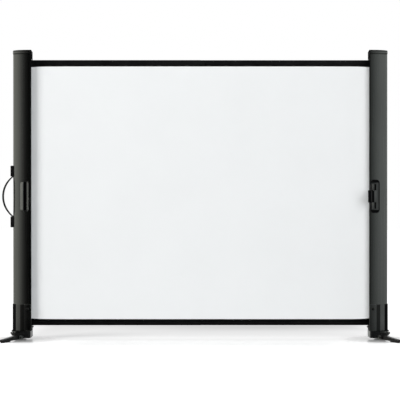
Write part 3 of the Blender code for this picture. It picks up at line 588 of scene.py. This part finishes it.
def shell(side_name):
    """Half-oval shell with thickened lips, a black strip at the front lip painted as the shade of the dark
    inside, and a window for its part of the latch.
    """
    side = SIDES[side_name]
    bead, bead_back = 0.0014, 0.0024
    soft = 0.0004
    outer = housing_ring(side, 0)
    outer[0] = (side * (LIP + soft), -DEPTH)
    inside = DEPTH - SHELL_WALL
    rim = [
        (0.0, DEPTH - soft),
        (0.0, inside - bead + soft),
        (soft, inside - bead),
        (bead_back - soft, inside - bead),
        (bead_back, inside - bead + soft),
    ]
    rear = [(side * (LIP + REAR_SET + across), y) for across, y in rim]
    front = [(side * (LIP + across), -y) for across, y in rim[::-1]]
    inner = half_oval(side, REACH - SHELL_WALL, inside)[::-1]
    inner = [(x, y) for x, y in inner if abs(x) > LIP + bead_back + soft + (REAR_SET if y > 0 else 0)]
    outline = outer + rear + inner + front
    rear_lip = range(len(outer) - 1, len(outer) + len(rear))
    front_lip = range(len(outline) - len(front) - 1, len(outline))
    # The lips and the strip beside the front lip are painted black: painted shade for the dark inside seen
    # past the lip
    black = {0, *rear_lip, *front_lip}
    rings = [[Vector((x, y, height)) for x, y in outline] for height in (SHELL_LOW, SHELL_HIGH)]
    piece = stack(f"{side_name}_shell", rings, [SHELL, MATT], lambda level, index: int(index in black))

    lowest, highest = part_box("latch_catch" if side < 0 else "latch_frame")
    width = highest.x - lowest.x + 2 * CLEARANCE
    height = highest.z - lowest.z + 2 * CLEARANCE
    middle = (lowest + highest) / 2
    outline = rounded(width, height, min(0.010, width / 2 - CLEARANCE))
    ahead, deep = 0.010, 0.014

    def place(u, v, y):
        return Vector((middle.x + u, y, middle.z + v))

    window = prism("window", outline, -DEPTH - ahead, -DEPTH + deep, place, [SHELL])
    carve(piece, window)
    dress(piece, f"{side_name}_post", "anodised_grey", f"{side_name}_housing")


def cap(side_name):
    """Top cap: plug, a band over the housing with a black line painted as shadow, a bead painted light as a
    highlight, and a dished top.
    """
    side = SIDES[side_name]
    node = f"{side_name}_top_cap"
    bottom, top = low(node).z, high(node).z
    over = -(high("right_top_cap").x - LIP - REACH)
    fit = SHELL_WALL + CLEARANCE
    base = SHELL_HIGH + CLEARANCE
    band = over + 0.0010
    grey, dark, light = 0, 1, 2

    # The dark ring under the bead is a painted shadow line, and the light rings on the bead are a painted
    # highlight
    # Height of each ring, how far it is pulled in, and the finish above it
    levels = [
        (bottom, fit + 0.0008, dark),
        (bottom + 0.0008, fit, dark),
        (base, fit, dark),
        (base, band, grey),
        (base + 0.0026, band, dark),
        (base + 0.0034, band, light),
        (base + 0.0037, over + 0.0004, light),
        (base + 0.0043, over, light),
        (base + 0.0058, over, light),
        (base + 0.0064, over + 0.0004, grey),
        (top - 0.0008, over + 0.0004, grey),
        (top - 0.0003, over + 0.0006, grey),
        (top, over + 0.0011, grey),
        (top, over + 0.0052, grey),
        (top - 0.0003, over + 0.0058, grey),
        (top - 0.0011, over + 0.0066, grey),
        (top - 0.0014, over + 0.0080, grey),
    ]
    rings = [[Vector((x, y, height)) for x, y in housing_ring(side, inset)] for height, inset, _ in levels]
    count = len(rings[0])

    def finish(level, index):
        return dark if index in (0, count - 1, count - 2) else levels[level][2]

    piece = stack(f"{node}_skin", rings, [CAP, MATT, BEAD], finish)
    settle(piece, math.radians(24))
    dress(piece, f"{side_name}_post", "black_plastic", node)


def socket(side_name):
    """Foot socket: a sleeve round the housing with a shallow channel painted dark as its shade, and a black
    side rail.
    """
    side = SIDES[side_name]
    node = f"{side_name}_foot_socket"
    lowest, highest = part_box(node)
    bottom, top = lowest.z, highest.z
    out = max(abs(lowest.x), abs(highest.x)) - LIP
    deep = highest.y
    grey, black, channel = 0, 1, 2

    # Bands of the front outwards from the lip: start, end, how far each is sunk, and its finish; the
    # channel's dark finish is painted shade
    soft = 0.0006
    rail_start, flank_start = 0.0480, 0.0504
    flank_end = 0.004
    panel_start = CHANNEL_END + 0.0002
    bands = (
        (soft, 0.0220, 0.0, grey),
        (CHANNEL_START + 0.0004, CHANNEL_END - 0.0004, 0.0009, channel),
        (panel_start, rail_start - soft, 0.0, grey),
        (rail_start, 0.0500, 0.0003, black),
    )
    steps = 6
    quarter = [(0.0, deep - soft, grey)]
    for start, end, sunk, finish in bands:
        for step in range(steps + 1):
            across = start + (end - start) * step / steps
            quarter.append((across, oval_front(across, out, deep) - sunk, finish))
    for x, y in half_oval(side, out, deep):
        across = abs(x) - LIP
        if across > flank_start and y < -flank_end:
            quarter.append((across, -y, black))
    quarter.append((out, flank_end, black))
    half = [(across, -y) for across, y, _ in quarter] + [(across, y) for across, y, _ in quarter[::-1]]
    finishes = [finish for *_, finish in quarter + quarter[::-1]]

    def ring(height, inset):
        """Outline pulled in towards the housing by a distance."""
        points = []
        for across, y in half:
            x = max(across - inset * min(across / 0.03, 1), lip_at(y))
            y -= math.copysign(inset, y)
            points.append(Vector((side * (LIP + x), y, height)))
        return points

    def face_finish(level, index):
        if index == len(half) - 1:
            return black
        return max(finishes[index], finishes[index + 1])

    levels = [
        (bottom, 0.0016),
        (bottom + 0.0005, 0.0007),
        (bottom + 0.0016, 0.0),
        (top - 0.0022, 0.0),
        (top - 0.0009, 0.0005),
        (top, 0.0016),
    ]
    rings = [ring(height, inset) for height, inset in levels]
    piece = stack(f"{node}_skin", rings, [SOCKET, MATT, CHANNEL_SHADE], face_finish)
    open_side = side * (LIP - 0.006)
    inner = half_oval(side, REACH + CLEARANCE, DEPTH + CLEARANCE)
    inner = [(open_side, inner[0][1]), *inner, (open_side, inner[-1][1])]
    hollow = prism("hollow", inner, bottom + 0.005, top + 0.006, upright, [MATT])
    carve(piece, hollow)
    dress(piece, f"{side_name}_post", "black_plastic", node)


# Latch
def relief(node, side, cells, surface, finishes):
    """Plate in a housing's front whose face is a height field over the oval.

    surface gives, for a distance across, a height and the distance to the plate's edge, how far
    the face stands out and which finish it has.
    """
    back = -0.028
    corner = LATCH_CORNER
    lowest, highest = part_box(node)
    near, far = sorted((abs(lowest.x) - LIP, abs(highest.x) - LIP))
    middle = (lowest.z + highest.z) / 2
    half = (highest.z - lowest.z) / 2
    shape = bmesh.new()
    columns, rows = cells
    grid, marks = [], []
    for row in range(rows + 1):
        z = half * (2 * row / rows - 1)
        end = half - abs(z)
        pull = corner - math.sqrt(max(corner**2 - (corner - end) ** 2, 0)) if end < corner else 0
        line, marked = [], []
        for column in range(columns + 1):
            across = near + pull + (far - near - 2 * pull) * column / columns
            edge = min(end, across - near - pull, far - pull - across)
            proud, finish = surface(across, z, edge)
            line.append(shape.verts.new((side * (LIP + across), -oval_front(across) - proud, middle + z)))
            marked.append(finish)
        grid.append(line)
        marks.append(marked)
    for under, over, marked in zip(grid, grid[1:], marks):
        for column in range(columns):
            face = shape.faces.new((under[column], under[column + 1], over[column + 1], over[column]))
            face.material_index = marked[column]
    rim = grid[0] + [line[-1] for line in grid[1:]] + grid[-1][-2::-1] + [line[0] for line in grid[-2:0:-1]]
    behind = [shape.verts.new((vertex.co.x, back, vertex.co.z)) for vertex in rim]
    for index in range(len(rim)):
        after = (index + 1) % len(rim)
        shape.faces.new((rim[index], rim[after], behind[after], behind[index]))
    shape.faces.new(behind)
    piece = from_bmesh(f"{node}_skin", shape, finishes)
    settle(piece, math.radians(28))
    dress(piece, body_of(node), slot_of(node), node)


def height_at(profile, place):
    """Height of a profile of (place, height) points."""
    for (start, first), (end, second) in zip(profile, profile[1:]):
        if place <= end:
            return first + (second - first) * max(place - start, 0) / (end - start)
    return profile[-1][1]


def catch():
    """Catch plate: a bead on the lip's side, the slot, and a facet rising to the slot; the bead and the facet
    are painted bright as highlights, and the slot and the rest darker as shade.
    """
    bead_start, bead_end = 0.0085, 0.0126
    slot_start, slot_end = 0.0156, 0.0234
    floor_depth = -0.0055
    half = 0.046
    bare_and_highlight, black, painted_shade = 0, 1, 2
    profile = [
        (0.0075, -0.0003),
        (0.0080, -0.0003),
        (0.0086, 0.0015),
        (bead_end, 0.0001),
        (0.0132, -0.0003),
        (0.0150, -0.0006),
        (slot_start, floor_depth),
        (slot_end, floor_depth),
        (0.0238, 0.0020),
        (0.0246, 0.0029),
        (0.0254, 0.0030),
        (0.0326, 0.0006),
        (0.0335, 0.0),
    ]

    # The slot is painted black, and the ends and the strips beside the bead darker: painted shade
    def surface(across, z, edge):
        end = half - abs(z)
        height = height_at(profile, across)
        if slot_start - 0.0001 < across < slot_end + 0.0002:
            return height * ease((end - 0.0035) / 0.003) + 0.0004, black if end > 0.004 else painted_shade
        dark = across < bead_start or bead_end < across < slot_start or end < 0.0035
        return height * ease((end - 0.002) / 0.005) if height > 0 else height, painted_shade if dark else bare_and_highlight

    relief("latch_catch", -1, (104, 110), surface, [CATCH_HIGHLIGHT, MATT, CAP])


def latch():
    """Latch frame: black border, grey panel, two slots, and the lugs that hold the hook."""
    slot_across, slot_up, slot_straight, slot_radius = 0.0177, 0.0275, 0.0072, 0.0021
    border, gap, panel_end = 0.0024, 0.0032, 0.0418
    bay_half, bay_start, bay_end, step_end = 0.0186, 0.0066, 0.0136, 0.0215
    grey, black, dark = 0, 1, 2

    # Every sunk place, the slots, the gap inside the border, the end bars and the bay, is painted dark:
    # painted shade
    def surface(across, z, edge):
        beyond = max(abs(abs(z) - slot_up) - slot_straight, 0)
        slot = math.hypot(across - slot_across, beyond) / slot_radius
        if slot < 1:
            return -0.004, dark
        if edge < border:
            return 0.0004 + 0.0006 * ease(edge / 0.0008), black
        if edge < gap or abs(z) > panel_end:
            return -0.0008, dark
        if abs(z) < bay_half and bay_start < across < bay_end:
            return -0.0014, dark
        if abs(z) < bay_half and across < step_end:
            return -0.0006, grey
        return 0.0002 if slot > 1.3 else -0.0002, grey

    relief("latch_frame", 1, (60, 110), surface, [PANEL, PLASTIC, MATT])
    pin = (low("latch_hook_pin") + high("latch_hook_pin")) / 2

    def place(u, v, w):
        return Vector((pin.x - 0.0006 + u, pin.y + 0.0028 + v, pin.z + w))

    for end, up in (("upper", 1), ("lower", -1)):
        start, stop = sorted((up * 0.0188, up * 0.0365))
        lug = prism(f"latch_{end}_lug", rounded(0.0066, 0.0092, 0.0026), start, stop, place, [BEAD])
        chamfer(lug, 0.0007, 3)
        settle(lug)
        dress(lug, "right_post", "black_plastic")


def hook():
    """Hook: front faces painted a deeper black as shade, with one lighter line painted on them as a
    highlight, and bare metal on the thumb paddle.
    """
    piece = refine("latch_hook", PLASTIC, 0.0005, 3)
    paddle = high("latch_hook").x - 0.0072
    highlight_band = (LIP + 0.0028, LIP + 0.0056)
    bare_and_highlight, line, black = 1, 2, 3
    shape = bmesh.new()
    shape.from_mesh(piece.data)
    for x in highlight_band:
        divide(shape, (x, 0, 0), (1, 0, 0))
    # Faces that look to the front are painted: a deeper black as shade, and a lighter line as a highlight
    for face in shape.faces:
        x = face.calc_center_median().x
        if x > paddle:
            face.material_index = bare_and_highlight
        elif face.normal.y < -0.15:
            face.material_index = line if highlight_band[0] < x < highlight_band[1] else black
    shape.to_mesh(piece.data)
    shape.free()
    for finish in (HOOK, HOOK_HIGHLIGHT, MATT):
        piece.data.materials.append(finish)


# Feet
def base(side_name):
    """Base block: its top band goes on from the socket, and its inner side is painted lighter as a reflection
    of the white floor.
    """
    side = SIDES[side_name]
    piece = refine(f"{side_name}_base", PLASTIC, 0.0012, 3)
    seam = high(f"{side_name}_base").z - 0.0042
    reflection, band = 1, 2
    shape = bmesh.new()
    shape.from_mesh(piece.data)
    divide(shape, (0, 0, seam), (0, 0, 1))
    for across in (CHANNEL_START, CHANNEL_END):
        divide(shape, (side * (LIP + across), 0, 0), (1, 0, 0))
    for face in shape.faces:
        middle = face.calc_center_median()
        across = abs(middle.x) - LIP
        # Faces that look inwards take a lighter finish: a painted reflection of the floor
        if -face.normal.x * side > 0.9:
            face.material_index = reflection
        elif middle.z > seam and abs(face.normal.y) > 0.5 and across > CHANNEL_END:
            face.material_index = band
    shape.to_mesh(piece.data)
    shape.free()
    for finish in (PANEL, SOCKET):
        piece.data.materials.append(finish)


def lever(side_name):
    """Foot release under the socket's side rail, with a rib to press at each end."""
    side = SIDES[side_name]
    lowest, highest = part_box(f"{side_name}_foot_socket")
    out = max(abs(lowest.x), abs(highest.x))
    inner = LIP + 0.0490

    # Heights from the socket's lower end, and how far each ring stands out from the socket
    levels = (
        (-0.0158, 0.0008),
        (-0.0152, 0.0014),
        (-0.0126, 0.0014),
        (-0.0118, -0.0016),
        (-0.0040, -0.0016),
        (-0.0034, 0.0026),
        (-0.0004, 0.0026),
        (0.0004, 0.0016),
    )
    rings = []
    for height, proud in levels:
        width = out + proud - inner
        outline = rounded(width, 0.030, 0.004)
        rings.append([Vector((side * (inner + width / 2 + u), v, lowest.z + height)) for u, v in outline])
    piece = stack(f"{side_name}_foot_lever", rings, [RUBBER])
    settle(piece)
    dress(piece, f"{side_name}_post", "black_plastic")


def sole(side_name, end):
    """Long rubber sole under the arm, round the pad."""
    name = f"{side_name}_{end}_foot"
    joints = frame["record"]["behaviour"]["joints"]
    joint = next(row for row in joints if row["name"] == f"{name}_fold")
    pivot, axis = joint["pos_m"], joint["axis"]
    thick = high(f"{name}_pad").z

    def place(u, v, w):
        reach = 0.0668 + u
        x = pivot[0] - axis[1] * reach + axis[0] * v
        y = pivot[1] + axis[0] * reach + axis[1] * v
        return Vector((x, y, w))

    outline = rounded(0.0456, 0.0094, 0.0046)
    piece = prism(f"{name}_sole", outline, 0.0002, thick + 0.0004, place, [RUBBER])
    chamfer(piece, 0.0005, 2)
    settle(piece)
    dress(piece, body_of(name), "rubber")


# Handle
def strap():
    """Carry strap: one bowed band with finger ribs inside and rounded edges."""
    lowest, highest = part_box("carry_handle")
    upper = low("upper_handle_mount").z
    lower = high("lower_handle_mount").z
    middle, half = (upper + lower) / 2, (upper - lower) / 2
    root = -(LIP + REACH) - 0.0030
    rise = root - lowest.x
    radius = (half**2 + rise**2) / (2 * rise)
    sweep = math.asin(half / radius)
    thick = 0.0034
    rib_height = 0.0005
    steps, ribs = 168, 34
    outside, inside = [], []
    for step in range(steps + 1):
        share = 2 * step / steps - 1
        turn = sweep * share
        depth = thick * (1 - 0.25 * share * share)
        rib = rib_height * max(math.cos(math.pi * ribs * share), 0) if abs(share) < 0.72 else 0
        for reach, line in ((radius, outside), (radius - depth + 0.0004 - rib, inside)):
            line.append((root - rise + radius - reach * math.cos(turn), middle + reach * math.sin(turn)))
    tang = 0.0024
    top = highest.z
    bottom = lowest.z
    outline = outside + [(root, upper), (root, top), (root + tang, top), (root + tang, upper)]
    outline += inside[::-1] + [(root + tang, lower), (root + tang, bottom), (root, bottom), (root, lower)]

    # Points that all but coincide are left out
    clean = []
    for point in outline:
        if not clean or math.dist(point, clean[-1]) > 0.0002:
            clean.append(point)
    y = (highest.y - lowest.y) / 2
    piece = prism("carry_handle_strap", clean, -y, y, lambda u, v, w: Vector((u, w, v)), [RUBBER])
    chamfer(piece, 0.0008, 3, math.radians(60))
    settle(piece)
    dress(piece, "left_post", "rubber", "carry_handle")


def screw(name, body, place, outward, radius, finish):
    """Domed screw head with a cross recess; outward is the way it faces."""
    thick = 0.0011
    steps = 24
    profile = [(radius, 0.0), (radius, thick * 0.35), (radius * 0.86, thick * 0.75), (radius * 0.55, thick)]
    rings = []
    for reach, rise in profile:
        turns = [math.tau * step / steps for step in range(steps)]
        rings.append([(reach * math.cos(turn), reach * math.sin(turn), rise) for turn in turns])
    piece = stack(name, rings, [finish])
    turned = Vector(outward).to_track_quat("Z", "Y").to_matrix().to_4x4()
    piece.data.transform(Matrix.Translation(place) @ turned)
    tools = []
    for wide, deep in ((1.1, 0.24), (0.24, 1.1)):
        outline = rounded(radius * wide, radius * deep, radius * 0.05, 2)
        tool = prism("recess", outline, thick * 0.3, thick * 2, upright, [finish])
        tool.data.transform(Matrix.Translation(place) @ turned)
        tools.append(tool)
    carve(piece, *tools)
    dress(piece, body, "steel")


def handle_mount(node, away):
    """Mount with well rounded edges, and the screw that holds it, away from the strap."""
    refine(node, PLASTIC, 0.0024, 4)
    lowest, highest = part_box(node)
    place = Vector((lowest.x + 0.0002, 0, (lowest.z + highest.z) / 2 + away))
    screw(f"{node}_screw", "left_post", place, (-1, 0, 0), 0.0036, DARK_STEEL)


# Rails
def rail(level, side_name):
    """Rail link with rolled edges and a groove along each face."""
    node = f"{level}_{side_name}_rail"
    piece = refine(node, PAINT, 0.0005)
    lowest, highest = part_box(node)
    middle = (lowest.x + highest.x) / 2
    height = (lowest.z + highest.z) / 2
    shown = 0.0035 if level == "top" else -0.0035
    outline = rounded(highest.x - lowest.x - 0.075, 0.0016, 0.0007, 3)
    deep = 0.0005

    def place(u, v, w):
        return Vector((middle + u, w, height + shown + v))

    tools = [prism("groove", outline, y - deep, y + deep, place, [PAINT]) for y in (lowest.y, highest.y)]
    carve(piece, *tools)


# Sheet
def screen():
    """Stretched sheet whose edges draw in a little by the housings, black at the back."""
    start, end = low("screen_sheet").x, high("screen_sheet").x
    columns, rows = 140, 60
    draw_in, fade = 0.0022, 0.022
    white, black = 0, 1
    shape = bmesh.new()
    half = (SHEET_HIGH - SHEET_LOW) / 2
    middle = (SHEET_HIGH + SHEET_LOW) / 2
    grids = []
    for y in (SHEET_FRONT, SHEET_BACK):
        grid = []
        for column in range(columns + 1):
            x = start + (end - start) * column / columns
            near = max(LIP - abs(x), 0)
            reach = half - draw_in * math.exp(-near / fade)
            heights = [middle + reach * (2 * row / rows - 1) for row in range(rows + 1)]
            grid.append([shape.verts.new((x, y, z)) for z in heights])
        grids.append(grid)

    def face(finish, *corners):
        points = [grids[back][column][row] for back, column, row in corners]
        shape.faces.new(points).material_index = finish

    for column in range(columns):
        after = column + 1
        for row in range(rows):
            over = row + 1
            face(white, (0, column, row), (0, after, row), (0, after, over), (0, column, over))
            face(black, (1, column, row), (1, column, over), (1, after, over), (1, after, row))
    for column in range(columns):
        for row in (0, rows):
            face(black, (0, column, row), (0, column + 1, row), (1, column + 1, row), (1, column, row))
    for column in (0, columns):
        for row in range(rows):
            face(black, (0, column, row), (0, column, row + 1), (1, column, row + 1), (1, column, row))
    piece = from_bmesh("screen_sheet_cloth", shape, [WHITE_CLOTH, BLACK_CLOTH])
    settle(piece)
    dress(piece, "left_post", "white_sheet", "screen_sheet")
    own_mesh(piece)


def wound():
    """The turns of cloth on the roller, as one spiral strip."""
    lowest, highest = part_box("wound_sheet")
    centre = (lowest + highest) / 2
    outer = (highest.x - lowest.x) / 2
    inner = outer - 0.0009
    steps, turns = 120, 1.5
    thick = 0.0003
    outside, inside = [], []
    for step in range(steps + 1):
        share = step / steps
        turn = math.tau * turns * (share - 1) - math.pi / 2
        radius = inner + thick + (outer - inner - thick) * share
        for edge, line in ((radius, outside), (radius - thick, inside)):
            line.append((centre.x + edge * math.cos(turn), centre.y + edge * math.sin(turn)))
    outline = outside + inside[::-1]
    piece = prism("wound_cloth", outline, lowest.z, highest.z, upright, [WHITE_CLOTH])
    settle(piece)
    dress(piece, "roller", "white_sheet", "wound_sheet")


# All pieces
for side_name in SIDES:
    shell(side_name)
    cap(side_name)
    refine(f"{side_name}_bottom_plug", PLASTIC, 0.0006)
    socket(side_name)
    base(side_name)
    lever(side_name)
    refine(f"{side_name}_socket_screw", SCREW, 0.0002)
    for end in ENDS:
        refine(f"{side_name}_{end}_foot", PLASTIC, 0.001, 3)
        refine(f"{side_name}_{end}_foot_pad", RUBBER, 0.0004)
        sole(side_name, end)
        refine(f"{side_name}_{end}_foot_pin", PAINT, 0.0002)
    for level in LEVELS:
        rail(level, side_name)
        refine(f"{level}_{side_name}_rail_bracket", STEEL, 0.0003)
        refine(f"{level}_{side_name}_rail_pin", DARK_STEEL, 0.0002)
for level in LEVELS:
    refine(f"{level}_knee_pin", PAINT, 0.0002)
    refine(f"{level}_knee_stop", PAINT, 0.0003)
for node, finish, width in (
    ("roller_tube", TUBE, 0.0003),
    ("roller_top_plug", PLASTIC, 0.0003),
    ("roller_bottom_plug", PLASTIC, 0.0003),
    ("roller_top_cup", STEEL, 0.0003),
    ("roller_bottom_cup", STEEL, 0.0003),
    ("roller_spindle", STEEL, 0.0003),
    ("roller_spring", STEEL, 0.0),
    ("sheet_clamp_bar", TUBE, 0.0003),
    ("latch_hook_pin", STEEL, 0.0003),
):
    refine(node, finish, width)
hook()
catch()
latch()
strap()
handle_mount("upper_handle_mount", 0.0075)
handle_mount("lower_handle_mount", -0.0075)
screen()
wound()
